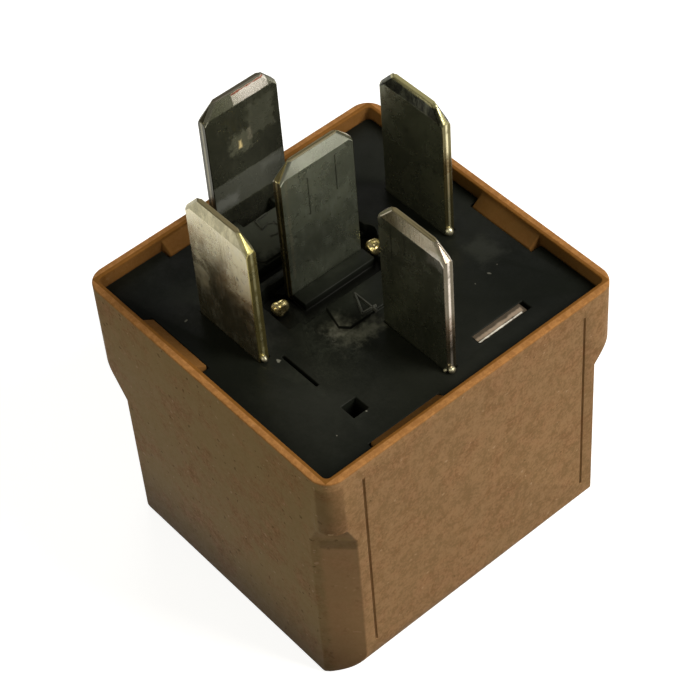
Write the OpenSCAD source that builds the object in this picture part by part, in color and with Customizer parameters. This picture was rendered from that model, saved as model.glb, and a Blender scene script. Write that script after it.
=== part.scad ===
// Five-blade changeover relay, drawn resting on the closed end of its cover, blades up.
// Origin: centre of the footprint at the resting plane. X runs from blade 87 to blade 30,
// Y from blade 86 to blade 85, Z up out of the terminal side. Millimetres.
// The armature is drawn released: its contact lies on the normally closed side.

/* [Cover] */
// Width of the cover along X
body_x = 25.4; // [25.2:0.1:27]
// Depth of the cover along Y
body_y = 26.1; // [26:0.1:28]
// Height of the cover from its closed end to the rim
body_h = 22.8; // [22.2:0.1:24]
// Thickness of the cover walls
wall = 1.0; // [0.9:0.05:1.05]
// Thickness of the walls at the rim, above the shelf that the base plate sits on
rim_wall = 0.7; // [0.6:0.05:0.8]
// Height of the shelf's recess below the base plate's face
shelf_h = 1.2; // [1:0.1:1.5]
// Thickness of the closed end
end_wall = 1.5; // [1.2:0.05:1.6]
// Radius of the cover's four upright corners under the rim
corner_r = 1.5; // [1:0.1:1.7]
// Flat on the corner between the 86 and 30 sides, width taken off either wall
front_cut = 2.2; // [1.75:0.05:2.3]
// Drop from the rim to the ledge over that flat
front_drop = 5.5; // [5:0.1:7]
// Height of the ramp under that ledge
front_ramp = 1.6; // [1.2:0.1:2.5]
// Flats on the two corners beside blade 85, width taken off either wall
side_cut = 2.1; // [1.75:0.05:2.3]
// Drop from the rim to the ramps over those flats
side_drop = 5.6; // [5:0.1:8]
// Height of those ramps
side_ramp = 1.5; // [1.2:0.1:3.5]
// Flat on the corner between the 86 and 87 sides, width taken off either wall
left_cut = 2.75; // [2:0.05:3]
// Drop from the rim to the ramp over that flat
left_drop = 7.8; // [5:0.1:9]
// Height of that ramp
left_ramp = 2.7; // [2:0.1:6]
// Radius of the closed end's edges beside the 87 and 30 sides
foot_r = 2.8; // [1.5:0.1:2.9]
// Radius of the closed end's edges beside the 85 and 86 sides
foot_r_coil = 0.2; // [0.1:0.1:0.6]
// Width of the two hairline grooves in the wall beside blade 30
line_w = 0.14; // [0.1:0.02:0.3]
// Distance of the hairline grooves from the middle of that wall
line_off = 9.9; // [9:0.1:10.4]

/* [Latches] */
// Length of each snap pad along its wall
latch_len = 5.8; // [4:0.1:6.5]
// How far a snap pad stands in from its wall
latch_out = 0.55; // [0.3:0.05:0.6]
// Height of a snap pad from its catch to its upper end
latch_h = 1.7; // [1.5:0.1:2]

/* [Base plate] */
// Depth of the base plate's face below the rim
recess = 1.0; // [0.8:0.1:1.4]
// Thickness of the base plate
base_t = 2.6; // [2.4:0.1:2.8]
// Clearance between the base plate and the cover
base_gap = 0.12; // [0.08:0.02:0.2]
// Height of the two raised number pads
pad_h = 0.26; // [0.1:0.02:0.4]
// Depth of the troughs round the two middle blades
trough_d = 0.95; // [0.4:0.05:1]
// Side of the square locating hole
locate_hole = 1.3; // [1:0.1:1.6]

/* [Blades] */
// Width of every blade
blade_w = 6.3; // [6.1:0.1:6.4]
// Thickness of every blade
blade_t = 0.8; // [0.7:0.05:0.8]
// Height of the blades above the base plate
blade_stand = 11.4; // [9:0.1:12.5]
// Corner cut at the tip of a blade
tip_cut = 1.2; // [1:0.1:1.8]
// Height of the bevel on the flat sides of the tip
tip_bevel = 1.1; // [0.8:0.1:1.6]
// Thickness left at the very tip
tip_t = 0.34; // [0.2:0.02:0.5]
// Distance of blade 87 from the inside of its wall
no_inset = 0.85; // [0.8:0.05:1.1]
// Distance of blade 30 from the inside of its wall
common_inset = 4.75; // [4.4:0.05:5]
// Position along X of the middle blade, 87a
mid_x = -3.0; // [-3.2:0.05:-2.8]
// Distance along Y between the two coil blades
coil_pitch = 16.8; // [16.7:0.05:16.9]
// Position along X of the two coil blades
coil_blade_x = -2.35; // [-2.45:0.05:-2.2]
// Position along Y of the row of contact blades
row_y = 0.2; // [0:0.05:0.3]
// Running clearance of a blade in its slot
slot_gap = 0.04; // [0.02:0.01:0.08]
// Thickness of the strip in the arms under the base plate
strip_t = 0.8; // [0.7:0.05:0.8]
// Width of the arms that carry the fixed contacts
arm_w = 3.4; // [3:0.1:3.6]

/* [Magnet] */
// Room between the yoke and the inside of its wall
yoke_room = 1.7; // [1.6:0.05:1.75]
// Thickness of the yoke
yoke_t = 1.1; // [1:0.05:1.15]
// Width of the yoke's upright leg
yoke_w = 13.8; // [13:0.1:14.2]
// Thickness of the tab on the yoke's leg, pressed thinner than the yoke
tab_t = 0.8; // [0.7:0.05:0.9]
// Width of the tab on the yoke's leg
tab_w = 4.3; // [3.8:0.1:4.6]
// Diameter of the core
core_d = 4.6; // [4:0.1:4.8]
// Diameter of the core's riveted end
spigot_d = 3.0; // [2.6:0.1:3.2]
// Diameter of the pole face
pole_d = 8.2; // [7:0.1:8.4]
// Thickness of the pole face
pole_t = 1.1; // [0.9:0.1:1.2]
// Outside diameter of the winding
coil_d = 11.4; // [10:0.1:11.6]
// How far the bobbin's square flanges stand out past the winding
flange_lip = 0.5; // [0.3:0.05:0.6]
// Thickness of a bobbin flange
flange_t = 0.8; // [0.6:0.05:0.9]
// Wall of the bobbin's tube
tube_t = 0.7; // [0.5:0.05:0.9]
// Room between the bobbin and the yoke's upright leg
coil_room = 0.55; // [0.45:0.05:0.7]
// Thickness of the armature
armature_t = 1.2; // [1:0.05:1.2]
// Width of the armature
armature_w = 10.4; // [9.6:0.1:11]
// Swing of the armature from released to pulled in, degrees
swing = 2.6; // [2.2:0.1:2.6]

/* [Contacts] */
// Thickness of the leaf spring
leaf_t = 0.3; // [0.2:0.02:0.3]
// Width of the leaf spring where it is bent round the yoke
leaf_w = 6.0; // [5.4:0.1:6.4]
// Width of the leaf spring's arm at the moving contact
nose_w = 3.0; // [2.8:0.1:3.2]
// Distance along X from blade 87 to the contacts
contact_in = 3.25; // [3:0.05:3.4]
// Diameter of the contact heads
contact_d = 2.6; // [2:0.1:2.8]
// Height of a contact head
contact_h = 0.5; // [0.4:0.02:0.5]
// Diameter of the contacts' riveted shanks
shank_d = 1.46; // [1.2:0.02:1.5]
// Diameter of the small rivets' shanks
rivet_d = 1.4; // [1.2:0.1:1.5]
// Gap left between parts that touch in use
touch_gap = 0.02; // [0.01:0.01:0.04]
// Clearance round a rivet or a riveted end
rivet_gap = 0.02; // [0.01:0.01:0.03]
// Room between the lower arm and the closed end
floor_gap = 0.14; // [0.1:0.02:0.3]

/* [Coil wiring] */
// Diameter of the coil's end wires
wire_d = 0.3; // [0.2:0.05:0.4]
// Diameter of the resistor's body
resistor_d = 2.0; // [1.6:0.1:2.2]
// Length of the resistor's body
resistor_len = 6.4; // [5:0.1:6.6]
// Diameter of the resistor's leads
lead_d = 0.6; // [0.4:0.05:0.7]

/* [Hidden] */
$fn = 48;
eps = 0.01;
base_top = body_h - recess;
base_under = base_top - base_t;
shelf_z = base_top - shelf_h;
in_x = body_x / 2 - wall;
in_y = body_y / 2 - wall;
no_x = no_inset - in_x;
common_x = in_x - common_inset;
y86 = row_y - coil_pitch / 2;
y85 = row_y + coil_pitch / 2;
yoke_out = in_x - yoke_room;
yoke_in = yoke_out - yoke_t;
yoke_top = base_under - touch_gap;
tab_y1 = row_y + yoke_w / 2 + 0.3;
tab_y0 = tab_y1 - tab_w;
leg_y0 = tab_y1 - yoke_w;
neck_y1 = tab_y0 - 0.3;
flange_w = coil_d + 2 * flange_lip;
core_x = yoke_in - coil_room - flange_w / 2;
contact_x = no_x + contact_in;
contact_r = yoke_out - contact_x;
nose_x = contact_x + contact_d / 2 + 2.1;
nc_arm_z = end_wall + floor_gap;
nc_face = nc_arm_z + strip_t + contact_h;
leaf_low = nc_face + touch_gap + eps + contact_r * sin(swing) + contact_h;
arm_top = leaf_low + leaf_t;
pivot_z = arm_top + armature_t;
pole_z = pivot_z + touch_gap;
no_face = arm_top + contact_h + touch_gap + eps;
no_arm_z = no_face + contact_h;
bobbin_z0 = pole_z + pole_t + 0.05;
bobbin_z1 = yoke_top - yoke_t - 0.03;
coil_z0 = bobbin_z0 + flange_t;
coil_z1 = bobbin_z1 - flange_t;
run_z = base_under - strip_t - 0.05;
nc_leg_x = no_x + blade_t / 2 + 0.55;
nc_leg_y0 = row_y + blade_w / 2 + 0.25;
nc_leg_y1 = nc_leg_y0 + 2.8;
bend_in = 0.2;
bend_z = pivot_z - 0.15 * sin(swing) - (armature_t - bend_in) * cos(swing);
bend_x = yoke_out - 0.15 * cos(swing) + (armature_t - bend_in) * sin(swing);
rivet_z = pivot_z + rivet_d * 1.5;
rivet_y = leaf_w / 2 - rivet_d + 0.1;
rivet_play = 0.18;
rivet_x = [core_x - 2, core_x + 2.8];
tab_z = base_under - 3.4;
post_x = coil_blade_x + 2.2;
band_d = resistor_d + 0.4;
res_x = core_x - coil_d / 2 - band_d / 2 - 0.35;
post_side = 0.8;
round_in = corner_r * (sqrt(2) - 1);
ledge_in = corner_r / sqrt(2);

// ---------- helpers ----------

// A rectangle with rounded corners, centred.
module round_rect(w, d, r) {
    square([w - 2 * r, d], center = true);
    square([w, d - 2 * r], center = true);
    for (sx = [-1, 1], sy = [-1, 1])
        translate([sx * (w / 2 - r), sy * (d / 2 - r)]) circle(r);
}

// A box given by its low and high corners.
module box(a, b) {
    translate(a) cube(b - a);
}

// The piece cut away at one upright corner, in the plane through the corner and the middle:
// a ledge or ramp leads from the round corner above into the 45 degree flat below.
module corner_wedge(inset, cut, drop, ramp, start, foot) {
    top = body_h - drop;
    flat_in = cut / sqrt(2) + inset;
    rotate([90, 0, 0]) linear_extrude(12, center = true) polygon([
        [1, top + 0.02],
        [0.1 - start - inset, top + 0.02],
        [-start - inset, top],
        [-flat_in, top - ramp],
        [-flat_in, foot],
        [-flat_in - foot, 0],
        [-flat_in - foot, -1],
        [1, -1]]);
}

// All four corner cuts for a shell whose sharp corners stand at half sizes hx, hy.
module corner_cuts(hx, hy, inset, foot) {
    translate([hx, -hy, 0]) rotate(-45)
        corner_wedge(inset, front_cut, front_drop, front_ramp, ledge_in, foot);
    for (s = [-1, 1]) translate([s * hx, hy, 0]) rotate(90 - s * 45)
        corner_wedge(inset, side_cut, side_drop, side_ramp, round_in, foot);
    translate([-hx, -hy, 0]) rotate(-135)
        corner_wedge(inset, left_cut, left_drop, left_ramp, round_in, foot);
}

// Outline of a block seen from one side, with its two lower edges rounded.
module foot_profile(w, h, r) {
    translate([-w / 2, r]) square([w, h - r]);
    translate([-w / 2 + r, 0]) square([w - 2 * r, h]);
    for (s = [-1, 1]) translate([s * (w / 2 - r), r]) circle(r);
}

// One snap pad on the wall at +X: a sloped lead-in above and a flat catch below.
module latch_pad(length) {
    root = wall - rim_wall + 0.2;
    rotate([90, 0, 0]) linear_extrude(length, center = true) polygon([
        [root, 0], [-latch_out, 0], [-latch_out, latch_h * 0.4],
        [root - 0.18, latch_h], [root, latch_h]]);
}

// The notch in the base plate that a snap pad drops into.
module latch_notch(length) {
    box([-latch_out - 0.15, -length / 2 - 0.2, 0], [1, length / 2 + 0.2, 3]);
}

// Places children on the inside of the three walls that have a full snap pad.
module at_long_latches() {
    translate([in_x, -4.9, 0]) children();
    translate([2.95, in_y, 0]) rotate(90) children();
    translate([-4.3, -in_y, 0]) rotate(-90) children();
}

// Places children on the wall beside blade 87, where the pad stops short of the blade.
module at_short_latch() {
    translate([-in_x, row_y - blade_w / 2 - 2.1, 0]) rotate(180) children();
}

// The part of a blade above the base, broad side facing X, standing on z = 0.
module blade_up() {
    half = blade_w / 2;
    intersection() {
        rotate([90, 0, 90]) linear_extrude(blade_t, center = true) polygon([
            [-half, 0], [half, 0], [half, blade_stand - tip_cut],
            [half - tip_cut * 0.9, blade_stand], [-half + tip_cut * 0.9, blade_stand],
            [-half, blade_stand - tip_cut]]);
        rotate([90, 0, 0]) linear_extrude(blade_w + 1, center = true) polygon([
            [-blade_t / 2, 0], [blade_t / 2, 0], [blade_t / 2, blade_stand - tip_bevel],
            [tip_t / 2, blade_stand], [-tip_t / 2, blade_stand],
            [-blade_t / 2, blade_stand - tip_bevel]]);
    }
}

// A blade with its shank through the base plate, broad side facing X.
module blade_in_base(below) {
    translate([0, 0, base_top - eps]) blade_up();
    box([-blade_t / 2, -blade_w / 2, base_under - below],
        [blade_t / 2, blade_w / 2, base_top]);
}

// A slot in the base plate for a shank, broad side facing X.
module blade_slot() {
    box([-blade_t / 2 - slot_gap, -blade_w / 2 - slot_gap, base_under - 1],
        [blade_t / 2 + slot_gap, blade_w / 2 + slot_gap, base_top + 1]);
}

// A contact head: a flat disc with a shallow dome, face up, back on z = 0.
module contact_head() {
    intersection() {
        cylinder(d = contact_d, h = contact_h);
        translate([0, 0, contact_h - 4.5]) sphere(4.5, $fn = 96);
    }
}

// Turns what the armature carries from its pulled-in place to its released place.
module released() {
    translate([yoke_out, 0, pivot_z]) rotate([0, -swing, 0])
        translate([-yoke_out, 0, -pivot_z]) children();
}

// ---------- case ----------

module cover() color([0.66, 0.45, 0.27]) {
    difference() {
        intersection() {
            linear_extrude(body_h) round_rect(body_x, body_y, corner_r);
            rotate([90, 0, 0]) linear_extrude(body_y + 2, center = true)
                foot_profile(body_x, body_h, foot_r);
            rotate([90, 0, 90]) linear_extrude(body_x + 2, center = true)
                foot_profile(body_y, body_h, foot_r_coil);
        }
        corner_cuts(body_x / 2, body_y / 2, 0, foot_r_coil);
        difference() {
            translate([0, 0, end_wall]) linear_extrude(body_h)
                round_rect(2 * in_x, 2 * in_y, 0.4);
            corner_cuts(body_x / 2, body_y / 2, wall, 0);
        }
        // wider mouth above the shelf
        translate([0, 0, shelf_z]) linear_extrude(body_h)
            round_rect(body_x - 2 * rim_wall, body_y - 2 * rim_wall, 0.4);
        for (s = [-1, 1])
            box([body_x / 2 - 0.1, s * line_off - line_w / 2, foot_r + 0.6],
                [body_x / 2 + 1, s * line_off + line_w / 2, body_h - 1.4]);
    }
    translate([0, 0, base_top - 0.9]) {
        at_long_latches() latch_pad(latch_len);
        at_short_latch() latch_pad(latch_len * 0.6);
    }
}

module base_plate() color([0.13, 0.14, 0.14]) {
    bx = in_x - base_gap;
    by = in_y - base_gap;
    pad_x = mid_x + 3.3;
    well_d = 2 * blade_t + 0.1;
    difference() {
        union() {
            translate([0, 0, base_under]) linear_extrude(base_t)
                round_rect(2 * bx, 2 * by, 0.5);
            // flange that sits on the shelf
            translate([0, 0, shelf_z + touch_gap]) linear_extrude(shelf_h - touch_gap)
                round_rect(2 * (bx + wall - rim_wall), 2 * (by + wall - rim_wall), 0.4);
            // number pad in front of blade 87a
            translate([pad_x, row_y, base_top - eps]) linear_extrude(pad_h) polygon([
                [0, -2.55], [1.9, -3.05], [2.5, -2.5], [2.5, 2.0], [1.9, 2.55], [0, 2.55]]);
            // number pad between blades 87 and 87a
            translate([no_x, row_y, base_top - eps]) linear_extrude(pad_h) polygon([
                [0, -2.85], [4.7, -3.1], [5.05, -2.7], [5.05, -1.2], [3.85, -0.2],
                [3.85, 2.9], [0, 2.9]]);
        }
        for (x = [mid_x, no_x]) translate([x, row_y, 0]) blade_slot();
        for (y = [y85, y86]) translate([coil_blade_x, y, 0]) rotate(90) blade_slot();
        translate([common_x, row_y, 0]) rotate(90) blade_slot();
        // yoke tab
        box([yoke_in - slot_gap, tab_y0 - slot_gap, base_under - 1],
            [yoke_in + tab_t + slot_gap, tab_y1 + 0.35, base_top + 1]);
        // trough, sill and side wells of blade 87a
        difference() {
            union() {
                box([mid_x - 2.7, row_y - 4.5, base_top - trough_d],
                    [pad_x, row_y + 3.3, base_top + 1]);
                box([mid_x - 1.6, row_y - 5.5, base_top - trough_d],
                    [mid_x + 2.95, row_y - 3.4, base_top + 1]);
                box([mid_x - 1.6, row_y + 3, base_top - trough_d],
                    [mid_x + 1.9, row_y + 4.6, base_top + 1]);
            }
            box([mid_x + blade_t / 2 + slot_gap, row_y - 3.1, 0],
                [mid_x + 1.75, row_y + 3.2, base_top - 0.3]);
            box([mid_x - 1.7, row_y - 6, 0], [mid_x - 1.05, row_y - 1.2, base_top + 2]);
        }
        for (s = [-1, 1]) translate([mid_x - 0.3, row_y + s * 4.1, base_top - 1.5])
            cylinder(d = well_d, h = 3);
        // pocket in front of blade 87
        box([no_x + blade_t / 2 - eps, row_y - 1.75, base_top - trough_d],
            [no_x + 1.4, row_y + 1.35, base_top + 1]);
        // locating hole and the slit that lines up with blade 86
        translate([in_x - 3.6, y86 + 1.6, base_top])
            cube([locate_hole, locate_hole, 4], center = true);
        box([coil_blade_x + 3.75, y86 + 0.95, base_top - 0.5],
            [coil_blade_x + 7.35, y86 + 1.2, base_top + 1]);
        // notches that the snap pads drop into
        translate([0, 0, base_top - 1.0]) {
            at_long_latches() latch_notch(latch_len);
            at_short_latch() latch_notch(latch_len * 0.6);
        }
        // pocket for the foot of blade 30
        box([common_x - 2.6, row_y - 0.5, base_under - 1],
            [yoke_in - 0.3, row_y + 2.75, base_under + strip_t + 0.05]);
        // relief over the riveted end of the core
        translate([core_x, row_y, base_under - 1]) cylinder(d = spigot_d + 1.2, h = 1.3);
    }
}

// ---------- terminals ----------

module coil_terminal(side) {
    rotate(90) blade_in_base(0.5);
    // post for the coil wire
    box([post_x - coil_blade_x - 0.5, -post_side / 2, base_under - 3.3],
        [post_x - coil_blade_x + 0.5, post_side / 2, base_under]);
    // drilled tab for the resistor lead
    difference() {
        box([res_x - coil_blade_x - 0.6, -post_side / 2, base_under - 4.4],
            [max(res_x - coil_blade_x + 0.8, 0.3 - blade_w / 2), post_side / 2, base_under]);
        translate([res_x - coil_blade_x, 0, tab_z]) rotate([90, 0, 0])
            cylinder(d = lead_d + 0.1, h = 4, center = true);
    }
}

module terminal_85() color([0.72, 0.72, 0.66])
    translate([coil_blade_x, y85, 0]) coil_terminal(1);

module terminal_86() color([0.72, 0.72, 0.66])
    translate([coil_blade_x, y86, 0]) coil_terminal(-1);

module terminal_30() color([0.72, 0.72, 0.66])
    translate([common_x, row_y, 0]) {
        rotate(90) blade_in_base(0);
        // foot welded on the yoke's short leg
        box([-2.5, -blade_t / 2, base_under], [yoke_in - 0.4 - common_x, 2.6, base_under + strip_t]);
    }

module terminal_87() color([0.72, 0.72, 0.66]) {
    translate([no_x, row_y, 0]) blade_in_base(0.5);
    box([no_x - strip_t / 2, row_y - arm_w * 0.7, no_arm_z],
        [no_x + strip_t / 2, row_y + arm_w * 0.7, base_under]);
    difference() {
        box([no_x - strip_t / 2, row_y - arm_w / 2, no_arm_z],
            [contact_x + contact_d / 2 + 0.3, row_y + arm_w / 2, no_arm_z + strip_t]);
        translate([contact_x, row_y, no_arm_z - 1])
            cylinder(d = shank_d + 2 * rivet_gap, h = 3);
    }
}

module terminal_87a() color([0.72, 0.72, 0.66]) {
    translate([mid_x, row_y, 0]) blade_in_base(0.5);
    // flat run under the base plate, out to the side of blade 87's arm
    box([nc_leg_x, row_y + 0.9, run_z], [mid_x + blade_t / 2, nc_leg_y1, run_z + strip_t]);
    box([nc_leg_x, nc_leg_y0, nc_arm_z], [nc_leg_x + strip_t, nc_leg_y1, run_z + strip_t]);
    difference() {
        box([nc_leg_x, row_y - arm_w / 2, nc_arm_z],
            [contact_x + contact_d / 2 + 0.3, nc_leg_y1, nc_arm_z + strip_t]);
        translate([contact_x, row_y, nc_arm_z - 1])
            cylinder(d = shank_d + 2 * rivet_gap, h = 3);
        box([contact_x + 0.2, row_y + arm_w / 2 + 0.2, nc_arm_z - 1],
            [contact_x + contact_d, nc_leg_y1 + 1, nc_arm_z + 2]);
    }
}

module fixed_contact_no() color([0.78, 0.77, 0.72])
    translate([contact_x, row_y, no_arm_z]) {
        rotate([180, 0, 0]) contact_head();
        cylinder(d = shank_d, h = strip_t);
        translate([0, 0, strip_t]) cylinder(d = shank_d + 0.54, h = 0.2);
    }

module fixed_contact_nc() color([0.78, 0.77, 0.72])
    translate([contact_x, row_y, nc_arm_z + strip_t]) {
        contact_head();
        translate([0, 0, -strip_t]) cylinder(d = shank_d, h = strip_t + eps);
    }

// ---------- magnet ----------

module yoke() color([0.60, 0.60, 0.58]) difference() {
    union() {
        // upright leg and the tab that shows in the base plate
        box([yoke_in, leg_y0, pole_z], [yoke_out, tab_y1, yoke_top - 0.6]);
        box([yoke_in, tab_y0, pole_z], [yoke_in + tab_t, tab_y1, base_top - 0.05]);
        // rounded bend and neck of the short leg
        intersection() {
            box([yoke_in - 1.5, leg_y0, yoke_top - 1.6], [yoke_out, neck_y1, yoke_top]);
            translate([yoke_out - 1.6, 0, yoke_top - 1.6]) rotate([90, 0, 0])
                union() {
                    cylinder(r = 1.6, h = 40, center = true);
                    translate([-8, -1.6, -20]) cube([8, 3.2, 40]);
                }
        }
        box([core_x - core_d / 2 - 1.3, row_y - 5.4, yoke_top - yoke_t],
            [yoke_in - 0.6, row_y + 5.4, yoke_top]);
    }
    // room inside the bend
    translate([0, 0, -0.5]) box([yoke_in - 1.6, leg_y0 - 1, yoke_top - yoke_t - 2],
        [yoke_in, neck_y1 + 0.001, yoke_top - yoke_t + 0.5]);
    // hole for the core's riveted end
    translate([core_x, row_y, yoke_top - 3]) cylinder(d = spigot_d + 2 * rivet_gap, h = 4);
    for (s = [-1, 1]) translate([yoke_in - 1, row_y + s * rivet_y, rivet_z]) rotate([0, 90, 0])
        cylinder(d = rivet_d + 2 * rivet_gap, h = yoke_t + 2);
}

module core() color([0.64, 0.64, 0.62]) translate([core_x, row_y, 0]) {
    translate([0, 0, pole_z]) cylinder(d = pole_d, h = pole_t);
    translate([0, 0, pole_z]) cylinder(d = core_d, h = yoke_top - yoke_t - pole_z - 0.01);
    translate([0, 0, pole_z]) cylinder(d = spigot_d, h = yoke_top - pole_z);
}

module bobbin() color([0.20, 0.22, 0.26]) translate([core_x, row_y, 0]) difference() {
    union() {
        for (z = [bobbin_z0, bobbin_z1 - flange_t]) translate([0, 0, z]) linear_extrude(flange_t)
            round_rect(flange_w, flange_w, 1.6);
        translate([0, 0, bobbin_z0]) cylinder(d = core_d + 0.1 + 2 * tube_t,
            h = bobbin_z1 - bobbin_z0);
    }
    translate([0, 0, bobbin_z0 - 1]) cylinder(d = core_d + 0.1, h = body_h);
}

module coil_winding() color([0.62, 0.28, 0.14]) translate([core_x, row_y, coil_z0 + touch_gap])
    difference() {
        cylinder(d = coil_d, h = coil_z1 - coil_z0 - 2 * touch_gap);
        translate([0, 0, -1]) cylinder(d = core_d + 0.14 + 2 * tube_t, h = body_h);
    }

// One coil end: a straight run from the winding, then three turns round the post at +Y.
module end_wire() {
    ring = 0.5 * sqrt(1 + post_side * post_side) + 0.04 + wire_d / 2;
    reach = sqrt(pow(coil_d / 2, 2) - pow(core_x - post_x - ring, 2)) + wire_d / 2 + 0.1;
    z0 = base_under - 2.7;
    translate([post_x, coil_pitch / 2, z0]) {
        for (i = [0:2]) translate([0, 0, i * wire_d * 0.95])
            rotate_extrude() translate([ring, 0]) circle(d = wire_d, $fn = 16);
        translate([ring, 0, 0]) rotate([90, 0, 0])
            cylinder(d = wire_d, h = coil_pitch / 2 - reach, $fn = 16);
    }
}

module coil_end_wires() color([0.70, 0.36, 0.18]) translate([0, row_y, 0]) {
    end_wire();
    mirror([0, 1, 0]) end_wire();
}

module resistor_body() color([0.55, 0.68, 0.74]) translate([res_x, row_y, tab_z])
    rotate([90, 0, 0]) difference() {
        union() {
            cylinder(d = resistor_d, h = resistor_len, center = true);
            for (s = [-1, 1]) translate([0, 0, s * (resistor_len / 2 - 0.75)])
                cylinder(d = band_d, h = 1.5, center = true);
        }
        for (s = [-1, 1]) translate([0, 0, s * resistor_len / 2])
            cylinder(d = lead_d + 0.02, h = 2, center = true);
    }

module resistor_leads() color([0.75, 0.75, 0.73]) translate([res_x, row_y, tab_z])
    for (s = [-1, 1]) rotate([90 * s, 0, 0]) translate([0, 0, resistor_len / 2 - 0.95])
        cylinder(d = lead_d, h = coil_pitch / 2 + 0.9 - resistor_len / 2 + 0.95);

module spring_rivets() color([0.72, 0.70, 0.62])
    for (s = [-1, 1]) translate([0, row_y + s * rivet_y, rivet_z]) rotate([0, 90, 0]) {
        translate([0, 0, yoke_in - 0.3]) cylinder(d = rivet_d + 0.8, h = 0.29);
        translate([0, 0, yoke_in - 0.3]) cylinder(d = rivet_d, h = yoke_t + 1.0);
        translate([0, 0, bend_x + bend_in + leaf_t + rivet_play])
            cylinder(d = rivet_d + 1, h = 0.35);
    }

// ---------- armature and what it carries ----------

module armature() color([0.58, 0.58, 0.56]) released() difference() {
    half = armature_w / 2;
    root = core_x + pole_d / 2 + 0.1;
    translate([0, row_y, arm_top]) linear_extrude(armature_t) polygon([
        [yoke_out - 0.2, -half], [yoke_out - 0.2, half], [root, half],
        [root - 1.2, half - 0.8], [core_x - 3, half - 0.8], [nose_x, half - 2.3],
        [nose_x, 2.3 - half], [core_x - 3, 0.8 - half], [root - 1.2, 0.8 - half], [root, -half]]);
    for (x = rivet_x) translate([x, row_y, arm_top - 1])
        cylinder(d = rivet_d + 2 * rivet_gap, h = 4);
}

// Side profile of the leaf in its pulled-in place: arm, bend round the yoke's end, upright leg.
module leaf_profile() {
    middle = [yoke_out - 0.15, arm_top + bend_in];
    leg = rivet_z + 1.6 - bend_z;
    bend = [for (i = [0:6]) -90 + (90 - swing) * i / 6];
    function on(r, a) = middle + r * [cos(a), sin(a)];
    function up(r) = on(r, -swing) + leg * [sin(swing), cos(swing)];
    polygon(concat(
        [[contact_x - contact_d / 2 - 0.4, arm_top], [contact_x - contact_d / 2 - 0.4, leaf_low]],
        [for (a = bend) on(bend_in + leaf_t, a)],
        [up(bend_in + leaf_t), up(bend_in)],
        [for (i = [6:-1:0]) on(bend_in, bend[i])]));
}

module contact_spring() color([0.76, 0.50, 0.28]) difference() {
    wide = leaf_w / 2 + 0.5;
    mid = leaf_w * 0.4;
    tip = nose_w / 2;
    released() difference() {
        intersection() {
            translate([0, row_y, 0]) rotate([90, 0, 0]) linear_extrude(leaf_w, center = true)
                leaf_profile();
            translate([0, row_y, -1]) linear_extrude(body_h) polygon([
                [in_x, -wide], [in_x, wide], [yoke_out - 2, wide], [core_x + 4, mid],
                [nose_x + 1.8, mid], [nose_x, tip], [contact_x - 3, tip], [contact_x - 3, -tip],
                [nose_x, -tip], [nose_x + 1.8, -mid], [core_x + 4, -mid], [yoke_out - 2, -wide]]);
        }
        for (x = rivet_x) translate([x, row_y, leaf_low - 1])
            cylinder(d = rivet_d + 2 * rivet_gap, h = 3);
        translate([contact_x, row_y, leaf_low - 1])
            cylinder(d = shank_d - 0.26 + 2 * rivet_gap, h = 3);
    }
    for (s = [-1, 1]) translate([yoke_out - 1, row_y + s * rivet_y, rivet_z])
        rotate([0, 90, 0]) cylinder(d = rivet_d + 0.3, h = 4);
}

module moving_contact() color([0.78, 0.77, 0.72]) released()
    translate([contact_x, row_y, 0]) {
        translate([0, 0, arm_top]) contact_head();
        translate([0, 0, leaf_low]) rotate([180, 0, 0]) contact_head();
        translate([0, 0, leaf_low - 0.1]) cylinder(d = shank_d - 0.26, h = leaf_t + 0.2);
    }

module armature_rivets() color([0.70, 0.69, 0.64]) released()
    for (x = rivet_x) translate([x, row_y, leaf_low]) {
        translate([0, 0, -0.35]) cylinder(d = rivet_d + 0.8, h = 0.35);
        translate([0, 0, -0.35]) cylinder(d = rivet_d, h = 0.33 + leaf_t + armature_t);
    }

// ---------- assembly ----------

cover();
base_plate();
terminal_85();
terminal_86();
terminal_30();
terminal_87();
terminal_87a();
fixed_contact_no();
fixed_contact_nc();
yoke();
core();
bobbin();
coil_winding();
coil_end_wires();
resistor_body();
resistor_leads();
spring_rivets();
armature();
contact_spring();
moving_contact();
armature_rivets();
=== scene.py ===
"""Looks of the five-blade changeover relay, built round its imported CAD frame."""

import logging
import math
from dataclasses import dataclass
from enum import Enum

import bmesh
import bpy
from mathutils import Euler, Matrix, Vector


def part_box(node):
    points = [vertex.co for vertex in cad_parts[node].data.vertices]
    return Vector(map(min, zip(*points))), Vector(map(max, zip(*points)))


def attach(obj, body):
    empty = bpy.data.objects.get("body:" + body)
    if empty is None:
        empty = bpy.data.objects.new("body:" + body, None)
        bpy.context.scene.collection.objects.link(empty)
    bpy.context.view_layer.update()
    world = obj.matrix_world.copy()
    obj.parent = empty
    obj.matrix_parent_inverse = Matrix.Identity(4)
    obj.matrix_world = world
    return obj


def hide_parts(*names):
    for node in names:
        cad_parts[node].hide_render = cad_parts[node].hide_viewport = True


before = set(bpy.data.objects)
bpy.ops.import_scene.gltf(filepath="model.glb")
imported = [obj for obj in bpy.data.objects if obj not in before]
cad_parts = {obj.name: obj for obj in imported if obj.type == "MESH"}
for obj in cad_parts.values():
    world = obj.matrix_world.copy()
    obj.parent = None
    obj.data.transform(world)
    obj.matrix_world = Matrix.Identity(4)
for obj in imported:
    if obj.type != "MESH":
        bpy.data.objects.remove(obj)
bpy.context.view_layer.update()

LOG = logging.getLogger("relay")
MM = 0.001
FIXED_BODY = "case"
FLOAT_SOCKET = "NodeSocketFloat"
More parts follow.
